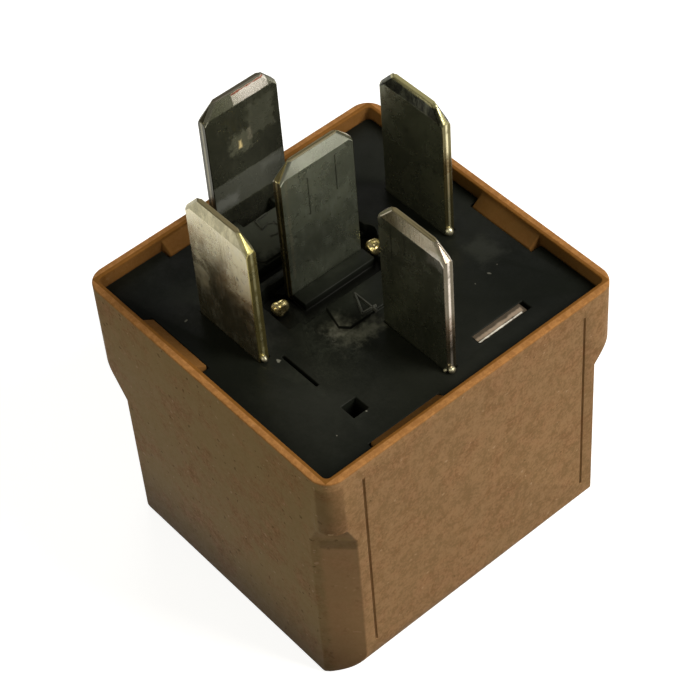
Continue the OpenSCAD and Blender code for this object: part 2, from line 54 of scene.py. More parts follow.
# The cover's highest corner gives the rim's height and how far out the two walls stand.
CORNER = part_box("cover")[1]
RECESS = 1.0 * MM
BLADE_STAND = 11.4 * MM
RIM = CORNER.z
BASE_TOP = RIM - RECESS
TIP = BASE_TOP + BLADE_STAND


class Slot(Enum):
    """The record's names for three material slots; the pieces made here don't use them."""

    CASE = "case_plastic"
    BASE = "base_plastic"
    BLADE = "tinned_blade"


class Thin(Enum):
    """The axis along which a blade is thin."""

    X = "x"
    Y = "y"


# ---------------------------------------------------------------- shader tools


class Graph:
    """A thin wrapper that makes shader nodes in a tree and links them in one call."""

    def __init__(self, tree: bpy.types.NodeTree) -> None:
        """Start on an empty tree.

        Args:
            tree: the node tree to fill.
        """
        self.tree = tree
        self.tree.nodes.clear()

    def add(self, kind: str, values: dict | None = None, **props: object) -> bpy.types.Node:
        """Add one node.

        Args:
            kind: the node's bl_idname.
            values: input names or indices with a number, colour or output socket each.
            props: node attributes.

        Returns:
            The new node.
        """
        node = self.tree.nodes.new(kind)
        for key, value in props.items():
            setattr(node, key, value)
        for key, value in (values or {}).items():
            self.set(node.inputs[key], value)
        return node

    def set(self, socket: bpy.types.NodeSocket, value: object) -> None:
        """Give a socket a value, or link it to an output socket.

        Args:
            socket: the input.
            value: a number, a tuple or an output socket.
        """
        if isinstance(value, bpy.types.NodeSocket):
            self.tree.links.new(value, socket)
        else:
            socket.default_value = value

    def math(self, op: str, a: object, b: object = 0.0, clamp: bool = False) -> bpy.types.NodeSocket:
        """A maths node.

        Args:
            op: the operation.
            a: first input.
            b: second input.
            clamp: keep the result between 0 and 1.

        Returns:
            The output socket.
        """
        return self.add("ShaderNodeMath", {0: a, 1: b}, operation=op, use_clamp=clamp).outputs[0]

    def noise(self, where: object, scale: object, detail: float = 3.0, rough: float = 0.5,
              twist: float = 0.0) -> bpy.types.NodeSocket:
        """A noise texture's value.

        Args:
            where: coordinates.
            scale: cells per metre.
            detail: octaves.
            rough: weight of the fine octaves.
            twist: distortion.

        Returns:
            The output socket.
        """
        node = self.add("ShaderNodeTexNoise", {"Vector": where, "Scale": scale, "Detail": detail,
                                               "Roughness": rough, "Distortion": twist})
        return node.outputs["Fac"]

    def ramp(self, value: object, low: float, high: float, first: float = 0.0,
             last: float = 1.0) -> bpy.types.NodeSocket:
        """A smooth step.

        Args:
            value: the input.
            low: input at which the result is first.
            high: input at which the result is last.
            first: result at low.
            last: result at high.

        Returns:
            The output socket.
        """
        node = self.add("ShaderNodeMapRange", {"Value": value, "From Min": low, "From Max": high,
                                               "To Min": first, "To Max": last},
                        interpolation_type="SMOOTHSTEP", clamp=True)
        return node.outputs["Result"]

    def mix(self, amount: object, a: object, b: object) -> bpy.types.NodeSocket:
        """Blend two colours.

        Args:
            amount: share of b.
            a: first colour.
            b: second colour.

        Returns:
            The output socket.
        """
        node = self.add("ShaderNodeMix", data_type="RGBA")
        self.set(node.inputs[0], amount)
        self.set(node.inputs[6], a)
        self.set(node.inputs[7], b)
        return node.outputs[2]

    def cover(self, colour: object, tone: object, mask: object, share: object) -> bpy.types.NodeSocket:
        """Lay a tone over a colour.

        Args:
            colour: the colour below.
            tone: the tone laid over it.
            mask: where the tone lies.
            share: how much of it shows there.

        Returns:
            The new colour.
        """
        return self.mix(self.math("MULTIPLY", mask, share), colour, tone)

    def place(self, scale: tuple = (1.0, 1.0, 1.0), shift: tuple = (0.0, 0.0, 0.0)) -> bpy.types.NodeSocket:
        """Object coordinates, stretched and shifted.

        Args:
            scale: factor along each axis.
            shift: offset along each axis, metres.

        Returns:
            The output socket.
        """
        coords = self.add("ShaderNodeTexCoord")
        node = self.add("ShaderNodeMapping", {"Vector": coords.outputs["Object"], "Scale": scale,
                                              "Location": shift})
        return node.outputs["Vector"]

    def axes(self, vector: bpy.types.NodeSocket) -> tuple:
        """Split a vector.

        Args:
            vector: the vector socket.

        Returns:
            Its three component sockets.
        """
        return tuple(self.add("ShaderNodeSeparateXYZ", {0: vector}).outputs)


@dataclass(frozen=True)
class Mark:
    """A patch of another tone on a face, in millimetres on that face."""

    middle: tuple
    half: tuple
    tone: tuple
    share: float = 1.0
    soft: float = 0.12
    ragged: float = 0.3

    def mask(self, graph: Graph, spot: tuple, where: object = 1.0) -> bpy.types.NodeSocket:
        """Where the mark lies.

        Args:
            graph: the material's graph.
            spot: the two sockets that place a point on the face, metres.
            where: a mask that the mark is kept in.

        Returns:
            The mask.
        """
        reach = []
        for value, middle, half in zip(spot, self.middle, self.half):
            off = graph.math("ABSOLUTE", graph.math("SUBTRACT", value, middle * MM))
            reach.append(graph.math("SUBTRACT", off, half * MM))
        out = graph.math("MAXIMUM", reach[0], reach[1])
        torn = graph.math("SUBTRACT", graph.noise(graph.place(), 1900.0, 4.0, 0.65), 0.5)
        out = graph.math("ADD", out, graph.math("MULTIPLY", torn, self.ragged * 2.0 * MM))
        mask = graph.ramp(out, self.soft * MM, -self.soft * MM)
        return graph.math("MULTIPLY", graph.math("MULTIPLY", mask, where), self.share)

    def over(self, graph: Graph, colour: object, spot: tuple, where: object = 1.0) -> bpy.types.NodeSocket:
        """Lay the mark over a colour.

        Args:
            graph: the material's graph.
            colour: the colour below.
            spot: the two sockets that place a point on the face, metres.
            where: a mask that the mark is kept in.

        Returns:
            The new colour.
        """
        return graph.mix(self.mask(graph, spot, where), colour, self.tone)


class Effect:
    """A shader node group shared by several finishes, made once."""

    name = "effect"
    inputs: tuple = ()
    outputs: tuple = ()

    def tree(self) -> bpy.types.NodeTree:
        """Make the group, or hand back the one already made.

        Returns:
            The node group.
        """
        if self.name in bpy.data.node_groups:
            return bpy.data.node_groups[self.name]
        tree = bpy.data.node_groups.new(self.name, "ShaderNodeTree")
        for label, value in self.inputs:
            socket = tree.interface.new_socket(label, in_out="INPUT", socket_type=FLOAT_SOCKET)
            socket.default_value = value
        for label in self.outputs:
            tree.interface.new_socket(label, in_out="OUTPUT", socket_type=FLOAT_SOCKET)
        graph = Graph(tree)
        given = graph.add("NodeGroupInput")
        made = graph.add("NodeGroupOutput")
        for label, socket in self.wire(graph, given.outputs).items():
            graph.set(made.inputs[label], socket)
        return tree

    def wire(self, graph: Graph, given: object) -> dict:
        """Fill the group.

        Args:
            graph: the group's graph.
            given: the group's inputs.

        Returns:
            Output names with their sockets.
        """
        raise NotImplementedError

    def use(self, graph: Graph, **values: object) -> object:
        """Put the group into another graph.

        Args:
            graph: where it goes.
            values: input values, with underscores for spaces.

        Returns:
            The group node's outputs.
        """
        node = graph.add("ShaderNodeGroup")
        node.node_tree = self.tree()
        for key, value in values.items():
            graph.set(node.inputs[key.replace("_", " ")], value)
        return node.outputs


class EdgeWear(Effect):
    """A mask that is 1 on outer edges, broken up by noise.

    flat and sharp are the cosines between which an edge comes to show.
    """

    name = "edge wear"
    inputs = (("Radius", 0.0002), ("Break", 0.5))
    outputs = ("Mask",)
    flat = 0.995
    sharp = 0.86

    def wire(self, graph: Graph, given: object) -> dict:
        """Compare the rounded normal with the true one.

        Args:
            graph: the group's graph.
            given: the group's inputs.

        Returns:
            The mask.
        """
        soft = graph.add("ShaderNodeBevel", {"Radius": given["Radius"]}, samples=6)
        true = graph.add("ShaderNodeNewGeometry")
        dot = graph.add("ShaderNodeVectorMath", {0: soft.outputs[0], 1: true.outputs["Normal"]},
                        operation="DOT_PRODUCT")
        edge = graph.ramp(dot.outputs["Value"], self.flat, self.sharp)
        patchy = graph.ramp(graph.noise(graph.place(), 900.0, 4.0, 0.6), 0.35, 0.62)
        kept = graph.math("MULTIPLY", patchy, given["Break"])
        share = graph.math("ADD", kept, graph.math("SUBTRACT", 1.0, given["Break"]))
        return {"Mask": graph.math("MULTIPLY", edge, share, True)}


class Grain(Effect):
    """Fine moulded or cast grain: a height and a colour mottle."""

    name = "grain"
    inputs = (("Fine", 9000.0), ("Coarse", 1500.0))
    outputs = ("Height", "Mottle")

    def wire(self, graph: Graph, given: object) -> dict:
        """Mix a fine and a coarse noise.

        Args:
            graph: the group's graph.
            given: the group's inputs.

        Returns:
            Height and mottle.
        """
        where = graph.place()
        fine = graph.noise(where, given["Fine"], 2.0, 0.6)
        coarse = graph.noise(where, given["Coarse"], 3.0, 0.55)
        height = graph.math("ADD", graph.math("MULTIPLY", fine, 0.6), graph.math("MULTIPLY", coarse, 0.4))
        mottle = graph.math("ADD", graph.math("MULTIPLY", fine, 0.55), graph.math("MULTIPLY", coarse, 0.45))
        return {"Height": height, "Mottle": mottle}


class Specks(Effect):
    """Small scattered flecks, as a mask. wobble bends their outlines, metres."""

    name = "specks"
    inputs = (("Scale", 700.0), ("Size", 0.12), ("Share", 0.3))
    outputs = ("Mask",)
    wobble = 0.0005

    def wire(self, graph: Graph, given: object) -> dict:
        """Scatter points, bend their outlines and keep some of them.

        Args:
            graph: the group's graph.
            given: the group's inputs.

        Returns:
            The mask.
        """
        where = graph.place()
        noise = graph.add("ShaderNodeTexNoise", {"Vector": where, "Scale": 2600.0, "Detail": 2.0})
        shift = graph.add("ShaderNodeVectorMath", {0: noise.outputs["Color"], "Scale": self.wobble},
                          operation="SCALE")
        bent = graph.add("ShaderNodeVectorMath", {0: where, 1: shift.outputs[0]}, operation="ADD")
        points = graph.add("ShaderNodeTexVoronoi", {"Vector": bent.outputs[0], "Scale": given["Scale"]})
        pick = graph.add("ShaderNodeSeparateColor", {0: points.outputs["Color"]})
        chosen = graph.math("LESS_THAN", pick.outputs[0], given["Share"])
        size = graph.math("MULTIPLY", given["Size"], graph.math("ADD", pick.outputs[1], 0.3))
        inside = graph.math("SUBTRACT", 1.0, graph.math("DIVIDE", points.outputs["Distance"], size), True)
        spot = graph.ramp(inside, 0.0, 0.35)
        return {"Mask": graph.math("MULTIPLY", chosen, spot, True)}


class Scratches(Effect):
    """Long fine lines along Z, as a mask."""

    name = "scratches"
    inputs = (("Density", 1.0),)
    outputs = ("Mask", "Height")

    def wire(self, graph: Graph, given: object) -> dict:
        """Stretch noise along Z.

        Args:
            graph: the group's graph.
            given: the group's inputs.

        Returns:
            Mask and height.
        """
        drawn = graph.noise(graph.place((1.0, 1.0, 0.035)), 5200.0, 2.0, 0.7, 0.1)
        broad = graph.noise(graph.place((1.0, 1.0, 0.12), (0.3, 0.1, 0.0)), 900.0, 3.0, 0.6)
        lines = graph.ramp(drawn, 0.60, 0.74)
        weight = graph.math("MULTIPLY", graph.ramp(broad, 0.42, 0.62), given["Density"])
        return {"Mask": graph.math("MULTIPLY", lines, weight, True), "Height": drawn}


class Facing(Effect):
    """How far a surface faces up, along X and along Y, in the part's own frame."""

    name = "facing"
    outputs = ("Up", "Along X", "Along Y")

    def wire(self, graph: Graph, given: object) -> dict:
        """Turn the normal into the object's frame and split it.

        Args:
            graph: the group's graph.
            given: the group's inputs.

        Returns:
            The three components.
        """
        coords = graph.add("ShaderNodeTexCoord")
        x, y, z = graph.axes(coords.outputs["Normal"])
        return {"Up": z, "Along X": x, "Along Y": y}


# ---------------------------------------------------------------- finishes


def rgb(red: float, green: float, blue: float) -> tuple:
    """A colour with full alpha.

    Args:
        red: linear red.
        green: linear green.
        blue: linear blue.

    Returns:
        Four numbers.
    """
    return (red, green, blue, 1.0)


class Finish:
    """A material made once and shared by the pieces that wear it."""

    name = "finish"

    def material(self) -> bpy.types.Material:
        """Make the material, or hand back the one already made.

        Returns:
            The material.
        """
        if self.name in bpy.data.materials:
            return bpy.data.materials[self.name]
        made = bpy.data.materials.new(self.name)
        made.use_nodes = True
        graph = Graph(made.node_tree)
        shader = graph.add("ShaderNodeBsdfPrincipled")
        output = graph.add("ShaderNodeOutputMaterial")
        graph.set(output.inputs["Surface"], shader.outputs[0])
        self.wire(graph, shader)
        return made

    def wire(self, graph: Graph, shader: bpy.types.Node) -> None:
        """Feed the shader.

        Args:
            graph: the material's graph.
            shader: its Principled node.
        """
        raise NotImplementedError

    @staticmethod
    def bump(graph: Graph, shader: bpy.types.Node, height: object, depth: float,
             strength: float = 1.0) -> None:
        """Add a bump to the shader.

        Args:
            graph: the material's graph.
            shader: its Principled node.
            height: the height, 0 to 1.
            depth: metres between height 0 and 1.
            strength: how much of it shows.
        """
        node = graph.add("ShaderNodeBump", {"Height": height, "Distance": depth, "Strength": strength})
        graph.set(shader.inputs["Normal"], node.outputs[0])


@dataclass(frozen=True)
class CasePlastic(Finish):
    """Tan moulded polyester with a fine mottle, dark and light flecks and paler worn edges.

    The tone inside the walls is painted shade: it begins a lip's width in from the outer walls,
    and goes inner_drop below the base plate's top. corner_reach is where the near corner's
    painted shade and light and its two small pale nicks fade in, and foot_reach where the
    painted shade above the floor begins and is full. All are in millimetres. The film tone
    lies heavier on the -Y faces, as the painted, less saturated tone of their shaded side.
    """

    name = "case plastic"
    light: tuple = rgb(0.405, 0.222, 0.108)
    dark: tuple = rgb(0.265, 0.143, 0.064)
    cloud: tuple = rgb(0.25, 0.145, 0.075)
    film: tuple = rgb(0.330, 0.236, 0.112)
    warm: tuple = rgb(0.40, 0.180, 0.060)
    dark_fleck: tuple = rgb(0.09, 0.048, 0.018)
    pale_fleck: tuple = rgb(0.62, 0.42, 0.26)
    worn: tuple = rgb(0.46, 0.26, 0.12)
    rim: tuple = rgb(0.47, 0.205, 0.056)
    rim_shade: tuple = rgb(0.35, 0.145, 0.036)
    # Painted shade for the walls inside the rim.
    inner_shade: tuple = rgb(0.170, 0.068, 0.010)
    # Painted shade towards the floor.
    foot: tuple = rgb(0.045, 0.022, 0.006)
    lip: float = 0.45
    inner_drop: float = 1.5
    corner_reach: tuple = (20.5, 21.0)
    foot_reach: tuple = (8.5, -1.5)
    corner_shade_light_and_nicks: tuple = (
        # The first four are painted shade and light on the near corner's facets and ledge; the last two are
        # small pale nicks.
        Mark((-0.14, 19.75), (0.92, 2.25), rgb(0.150, 0.080, 0.034), 0.42, 0.12, 0.12),
        Mark((0.05, 7.6), (1.25, 7.2), rgb(0.50, 0.285, 0.145), 0.55, 0.3, 0.3),
        Mark((0.05, 16.6), (1.3, 0.65), rgb(0.42, 0.245, 0.120), 0.35, 0.25, 0.25),
        Mark((0.03, 15.2), (1.24, 0.45), rgb(0.145, 0.080, 0.036), 0.40, 0.12, 0.10),
        Mark((-0.25, 17.5), (0.16, 0.05), rgb(0.62, 0.42, 0.24), 0.8, 0.05, 0.10),
        Mark((0.75, 5.2), (0.28, 0.07), rgb(0.55, 0.34, 0.19), 0.7, 0.07, 0.12),
    )

    def wire(self, graph: Graph, shader: bpy.types.Node) -> None:
        """Feed the shader.

        Args:
            graph: the material's graph.
            shader: its Principled node.
        """
        grain = Grain().use(graph, Fine=4600.0, Coarse=1300.0)
        facing = Facing().use(graph)
        colour = self.mottled(graph, grain, facing)
        along, across, high = graph.axes(graph.place())
        slant = graph.math("MULTIPLY", graph.math("ADD", along, across), math.sqrt(0.5))
        # Painted shade and light on the near corner's facets, with two small pale nicks.
        near = graph.ramp(graph.math("SUBTRACT", along, across), *(reach * MM for reach in self.corner_reach))
        for mark in self.corner_shade_light_and_nicks:
            colour = mark.over(graph, colour, (slant, high), near)
        top = graph.ramp(high, RIM - 0.22 * MM, RIM - 0.04 * MM)
        rough = graph.ramp(graph.noise(graph.place(), 2400.0, 3.0, 0.7), 0.42, 0.60)
        colour = graph.cover(colour, graph.mix(rough, self.rim_shade, self.rim), top, 0.75)
        # Painted shade: the walls inside the rim, above the base plate, take a darker tone.
        past = [graph.math("SUBTRACT", graph.math("ABSOLUTE", value), outer - self.lip * MM)
                for value, outer in zip((along, across), CORNER)]
        wall = graph.ramp(graph.math("MAXIMUM", *past), 0.03 * MM, -0.03 * MM)
        low_end = BASE_TOP - self.inner_drop * MM
        inside = graph.math("MULTIPLY", wall, graph.ramp(high, low_end, low_end + 0.2 * MM))
        colour = graph.cover(colour, self.inner_shade, inside, 0.8)
        # Painted shade: the -Y and downward faces darken towards the floor.
        turned = graph.ramp(graph.math("ADD", facing["Along Y"], facing["Up"]), -0.3, -0.85)
        low = graph.math("POWER", graph.ramp(high, *(reach * MM for reach in self.foot_reach)), 1.3)
        colour = graph.cover(colour, self.foot, graph.math("MULTIPLY", turned, low), 0.80)
        graph.set(shader.inputs["Base Color"], colour)
        graph.set(shader.inputs["Roughness"], graph.ramp(grain["Mottle"], 0.3, 0.7, 0.62, 0.50))
        shader.inputs["Specular IOR Level"].default_value = 0.03
        self.bump(graph, shader, grain["Height"], 0.00004, 0.35)

    def mottled(self, graph: Graph, grain: object, facing: object) -> bpy.types.NodeSocket:
        """The moulded tone, with its film, flecks and worn edges.

        Args:
            graph: the material's graph.
            grain: the grain group's outputs.
            facing: the facing group's outputs.

        Returns:
            The colour.
        """
        colour = graph.mix(graph.ramp(grain["Mottle"], 0.38, 0.62), self.dark, self.light)
        broad = graph.ramp(graph.noise(graph.place(), 110.0, 3.0, 0.6), 0.3, 0.7)
        colour = graph.cover(colour, self.cloud, broad, 0.16)
        # A film tone in patches, laid on more thickly on the -Y faces as the painted, less saturated tone of
        # their shaded side.
        film = graph.ramp(graph.noise(graph.place(), 420.0, 5.0, 0.7), 0.28, 0.58)
        turned = graph.ramp(facing["Along Y"], -0.3, -0.9, 0.25, 0.80)
        colour = graph.cover(colour, self.film, film, turned)
        where = graph.place((1.0, 1.0, 1.4), (0.02, 0.01, 0.0))
        warm = graph.ramp(graph.noise(where, 700.0, 4.0, 0.7), 0.52, 0.68)
        colour = graph.cover(colour, self.warm, warm, 0.07)
        black = Specks().use(graph, Scale=2600.0, Size=0.34, Share=0.10)["Mask"]
        colour = graph.cover(colour, self.dark_fleck, black, 0.50)
        pale = Specks().use(graph, Scale=2300.0, Size=0.30, Share=0.08)["Mask"]
        colour = graph.cover(colour, self.pale_fleck, pale, 0.40)
        wear = EdgeWear().use(graph, Radius=0.00028, Break=0.55)["Mask"]
        return graph.cover(colour, self.worn, wear, 0.32)


@dataclass(frozen=True)
class BasePlastic(Finish):
    """Near-black glass-filled plastic with dust in the corners and pale specks, painted light and shade
    across its top, and painted shade below its top.
    """

    body: tuple = rgb(0.0065, 0.0078, 0.0054)
    dust: tuple = rgb(0.085, 0.082, 0.066)
    name: str = "base plastic"
    worn: float = 0.30
    fleck: tuple = rgb(0.30, 0.29, 0.24)
    edge: tuple = rgb(0.10, 0.10, 0.088)
    # Painted shade for the recesses below the top.
    recess_shade: tuple = rgb(0.003, 0.003, 0.0025)
    marks: tuple = (
        Mark((2.6, -2.9), (1.0, 0.5), rgb(0.16, 0.16, 0.125), 0.75, 0.9, 1.2),
        Mark((3.6, -1.6), (0.4, 1.0), rgb(0.16, 0.16, 0.125), 0.75, 0.8, 1.2),
        Mark((2.3, -3.3), (0.35, 0.3), rgb(0.30, 0.29, 0.24), 0.50, 0.5, 1.2),
        # From here on, painted light and shade on the base's top: a lighter 5 pad where a blade's shadow
        # would fall, a lighter front, darker corners by the walls and lighter patches between.
        Mark((-8.0, 0.2), (1.9, 2.7), rgb(0.075, 0.080, 0.065), 0.85, 0.5, 0.9),
        Mark((6.0, -8.0), (2.6, 2.4), rgb(0.030, 0.031, 0.025), 0.35, 2.2, 2.0),
        Mark((-9.3, -9.3), (1.6, 3.2), rgb(0.0028, 0.0040, 0.0024), 0.85, 1.6, 1.2),
        Mark((-6.0, -11.2), (4.0, 1.2), rgb(0.0028, 0.0040, 0.0024), 0.80, 1.2, 1.2),
        Mark((7.5, 9.6), (3.6, 2.4), rgb(0.0028, 0.0040, 0.0024), 0.65, 1.6, 1.2),
        Mark((9.4, -2.6), (1.6, 2.6), rgb(0.026, 0.027, 0.021), 0.30, 1.6, 1.4),
        Mark((3.6, 9.1), (1.1, 0.9), rgb(0.030, 0.032, 0.025), 0.55, 0.5, 0.8),
        Mark((-1.2, -7.0), (1.8, 0.6), rgb(0.05, 0.05, 0.04), 0.35, 0.9, 1.4),
    )

    def wire(self, graph: Graph, shader: bpy.types.Node) -> None:
        """Feed the shader.

        Args:
            graph: the material's graph.
            shader: its Principled node.
        """
        grain = Grain().use(graph, Fine=5200.0, Coarse=700.0)
        up = Facing().use(graph)["Up"]
        film = graph.ramp(graph.noise(graph.place(), 240.0, 5.0, 0.65), 0.42, 0.74)
        lying = graph.math("MULTIPLY", film, graph.ramp(up, 0.6, 1.0), True)
        colour = graph.cover(self.body, self.dust, lying, 0.07)
        colour = graph.cover(colour, self.dust, grain["Mottle"], 0.05)
        pale = Specks().use(graph, Scale=560.0, Size=0.085, Share=0.26)["Mask"]
        colour = graph.cover(colour, self.fleck, pale, 0.7)
        wear = EdgeWear().use(graph, Radius=0.00016, Break=0.5)["Mask"]
        colour = graph.cover(colour, self.edge, wear, self.worn)
        along, across, high = graph.axes(graph.place())
        level = graph.ramp(up, 0.7, 0.95)
        # Pale dust patches, then painted light and shade across the top.
        for mark in self.marks:
            colour = mark.over(graph, colour, (along, across), level)
        # Painted shade: everything below the base plate's top, in its troughs and wells, darkens.
        below = graph.ramp(high, BASE_TOP - 0.3 * MM, BASE_TOP - 0.8 * MM)
        colour = graph.cover(colour, self.recess_shade, below, 0.7)
        graph.set(shader.inputs["Base Color"], colour)
        graph.set(shader.inputs["Roughness"], graph.ramp(grain["Mottle"], 0.3, 0.7, 0.40, 0.56))
        shader.inputs["Specular IOR Level"].default_value = 0.09
        self.bump(graph, shader, grain["Height"], 0.00003, 0.4)


@dataclass(frozen=True)
class BladeMetal(Finish):
    """Tin-plated brass strip: tarnished, drawn along its length, brass on the punched edges.

    middle is the blade's centre, along its width and along its thickness. The bands are
    in millimetres, and so are the marks, across the blade and down from its tip. The plated
    tone and the lower tone are painted to the reflection each blade shows, and the lower tone
    also holds real tarnish; it fades between the heights stain_and_reflection_low and
    stain_and_reflection_high, in metres.
    """

    name: str = "blade metal"
    thin: Thin = Thin.Y
    middle: tuple = (0.0, 0.0)
    # The plated tone and the lower tone are painted reflection; the lower one also holds real tarnish.
    tin_and_reflection: tuple = rgb(0.155, 0.16, 0.115)
    stain_and_reflection: tuple = rgb(0.10, 0.105, 0.075)
    blot: tuple = rgb(0.20, 0.205, 0.16)
    # The tip's band is painted reflection; the drawn lines take a little of it too.
    band: tuple = rgb(0.62, 0.60, 0.50)
    band_share: float = 0.8
    edge: tuple = rgb(0.13, 0.11, 0.045)
    # line is the painted highlight along the punched edge, also laid on rubbed edges, and corner the painted
    # light on the cut corners.
    line: tuple = rgb(0.80, 0.72, 0.45)
    corner: tuple = rgb(0.45, 0.38, 0.17)
    stain_and_reflection_low: float = 0.0260
    stain_and_reflection_high: float = 0.0297
    marks: tuple = ()
    # Patches of painted highlight, shadow and reflection, which also dull the metal.
    matte_painted_light: tuple = ()
    end: tuple = rgb(0.16, 0.13, 0.06)
    pit: tuple = rgb(0.02, 0.021, 0.012)
    tip_band: float = 1.10
    cut_band: float = 1.54
    band_soft: float = 0.04

    def wire(self, graph: Graph, shader: bpy.types.Node) -> None:
        """Feed the shader.

        Args:
            graph: the material's graph.
            shader: its Principled node.
        """
        facing = Facing().use(graph)
        flank = facing["Along X"]
        along, across, high = graph.axes(graph.place())
        if self.thin is Thin.X:
            flank = facing["Along Y"]
            along, across = across, along
        wide = graph.math("SUBTRACT", along, self.middle[0] * MM)
        thin = graph.math("SUBTRACT", across, self.middle[1] * MM)
        drop = graph.math("SUBTRACT", TIP, high)
        edge = graph.ramp(graph.math("ABSOLUTE", flank), 0.50, 0.60)
        lines = Scratches().use(graph, Density=1.0)
        cloud = graph.noise(graph.place(), 420.0, 5.0, 0.62, 0.3)
        colour = self.plated(graph, high, cloud, lines["Mask"], self.band_mask(graph, wide, drop))
        face = graph.math("SUBTRACT", 1.0, edge)
        dull = 0.0
        # Painted highlight, shadow and reflection patches, which also dull the metal.
        for mark in self.matte_painted_light:
            cover = mark.mask(graph, (wide, drop), face)
            colour = graph.mix(cover, colour, mark.tone)
            dull = graph.math("MAXIMUM", dull, cover)
        for mark in self.marks:
            colour = mark.over(graph, colour, (wide, drop), face)
        colour = graph.mix(edge, colour, self.punched(graph, thin, facing["Up"]))
        end = graph.ramp(facing["Up"], 0.80, 0.92)
        colour = graph.mix(end, colour, self.end)
        wear = EdgeWear().use(graph, Radius=0.00012, Break=0.7)["Mask"]
        colour = graph.cover(colour, self.line, wear, 0.35)
        crown = graph.math("MAXIMUM", end, graph.ramp(drop, 0.11 * MM, 0.05 * MM))
        colour = graph.cover(colour, self.end, crown, 0.9)
        dull = graph.math("MULTIPLY", graph.math("MAXIMUM", dull, crown), 0.75)
        polish = graph.math("MAXIMUM", graph.ramp(cloud, 0.3, 0.7, 0.18, 0.34),
                            graph.math("MULTIPLY", crown, 0.6))
        graph.set(shader.inputs["Base Color"], colour)
        graph.set(shader.inputs["Metallic"], graph.math("SUBTRACT", 0.85, dull))
        graph.set(shader.inputs["Roughness"], polish)
        self.bump(graph, shader, lines["Height"], 0.00002, 0.35)

    def band_mask(self, graph: Graph, wide: object, drop: object) -> bpy.types.NodeSocket:
        """The bevelled band along the tip and its cut corners.

        Args:
            graph: the material's graph.
            wide: distance from the blade's middle line.
            drop: distance below the tip.

        Returns:
            The mask.
        """
        slope = graph.math("SUBTRACT", graph.math("ABSOLUTE", wide), drop)
        tip = graph.ramp(drop, (self.tip_band + self.band_soft) * MM, (self.tip_band - self.band_soft) * MM)
        cut = graph.ramp(slope, (self.cut_band - self.band_soft) * MM, (self.cut_band + self.band_soft) * MM)
        return graph.math("MAXIMUM", tip, cut)

    def plated(self, graph: Graph, high: object, cloud: object, lines: object,
               band: object) -> bpy.types.NodeSocket:
        """The plated face: painted reflection and tarnish, blots, pits, drawn lines and the tip's band of
        painted reflection.

        Args:
            graph: the material's graph.
            high: height above the floor.
            cloud: a broad noise.
            lines: the mask of the drawn lines.
            band: the mask of the tip's band.

        Returns:
            The colour.
        """
        level = graph.math("ADD", high, graph.math("MULTIPLY", graph.math("SUBTRACT", cloud, 0.5), 7.0 * MM))
        # Painted reflection: the plated tone above and a darker lower tone, which reflects the dark base and
        # also holds real tarnish.
        colour = graph.mix(graph.ramp(level, self.stain_and_reflection_high, self.stain_and_reflection_low), self.tin_and_reflection, self.stain_and_reflection)
        fine = graph.noise(graph.place((1.0, 1.0, 0.45)), 1500.0, 4.0, 0.7)
        colour = graph.cover(colour, self.blot, graph.ramp(fine, 0.45, 0.70), 0.55)
        pits = graph.ramp(graph.noise(graph.place(), 2600.0, 3.0, 0.6), 0.60, 0.72)
        colour = graph.cover(colour, self.pit, pits, 0.5)
        colour = graph.cover(colour, self.band, lines, 0.30)
        # Painted reflection on the tip's bevel band.
        patchy = graph.math("MULTIPLY", band, graph.ramp(fine, 0.30, 0.60, 0.55, 1.0))
        return graph.cover(colour, self.band, patchy, self.band_share)

    def punched(self, graph: Graph, thin: object, up: object) -> bpy.types.NodeSocket:
        """The bare punched edge: a bright line along its middle and brighter cut corners.

        Args:
            graph: the material's graph.
            thin: distance from the middle of the blade's thickness.
            up: how far the surface faces up.

        Returns:
            The colour.
        """
        patchy = graph.ramp(graph.noise(graph.place(), 700.0, 3.0, 0.6), 0.30, 0.50)
        # Painted highlight: a bright line along the middle of the punched edge.
        shine = graph.math("MULTIPLY", graph.ramp(graph.math("ABSOLUTE", thin), 0.14 * MM, 0.04 * MM), patchy)
        colour = graph.mix(shine, self.edge, self.line)
        # Painted light on the cut corners that face up.
        return graph.cover(colour, self.corner, graph.ramp(up, 0.35, 0.5), 0.85)


@dataclass(frozen=True)
class PlainMetal(Finish):
    """A metal with cloudy tone and a fine grain, for the magnet, contacts, rivets and wires.

    tab holds the marks on an end that shows in the base plate, and tab_tone the tone there.
    """

    name: str = "plain metal"
    tone: tuple = rgb(0.45, 0.45, 0.43)
    shade: tuple = rgb(0.25, 0.25, 0.23)
    rough: float = 0.38
    scale: float = 500.0
    tab: tuple = ()
    tab_tone: tuple = rgb(0.085, 0.065, 0.045)

    def wire(self, graph: Graph, shader: bpy.types.Node) -> None:
        """Feed the shader.

        Args:
            graph: the material's graph.
            shader: its Principled node.
        """
        grain = Grain().use(graph, Fine=6000.0, Coarse=self.scale)
        cloud = graph.ramp(grain["Mottle"], 0.35, 0.65)
        wear = EdgeWear().use(graph, Radius=0.0001, Break=0.5)["Mask"]
        colour = graph.mix(cloud, self.shade, self.tone)
        colour = graph.cover(colour, rgb(*(min(1.0, part * 1.35) for part in self.tone[:3])), wear, 0.6)
        if self.tab:
            along, across, high = graph.axes(graph.place())
            shown = graph.ramp(high, BASE_TOP - 1.2 * MM, BASE_TOP - 0.6 * MM)
            colour = graph.mix(shown, colour, self.tab_tone)
            for mark in self.tab:
                colour = mark.over(graph, colour, (along, across), shown)
        graph.set(shader.inputs["Base Color"], colour)
        graph.set(shader.inputs["Metallic"], 0.95)
        polish = graph.ramp(grain["Mottle"], 0.3, 0.7, self.rough + 0.1, self.rough - 0.05)
        graph.set(shader.inputs["Roughness"], polish)
        self.bump(graph, shader, grain["Height"], 0.00002, 0.3)


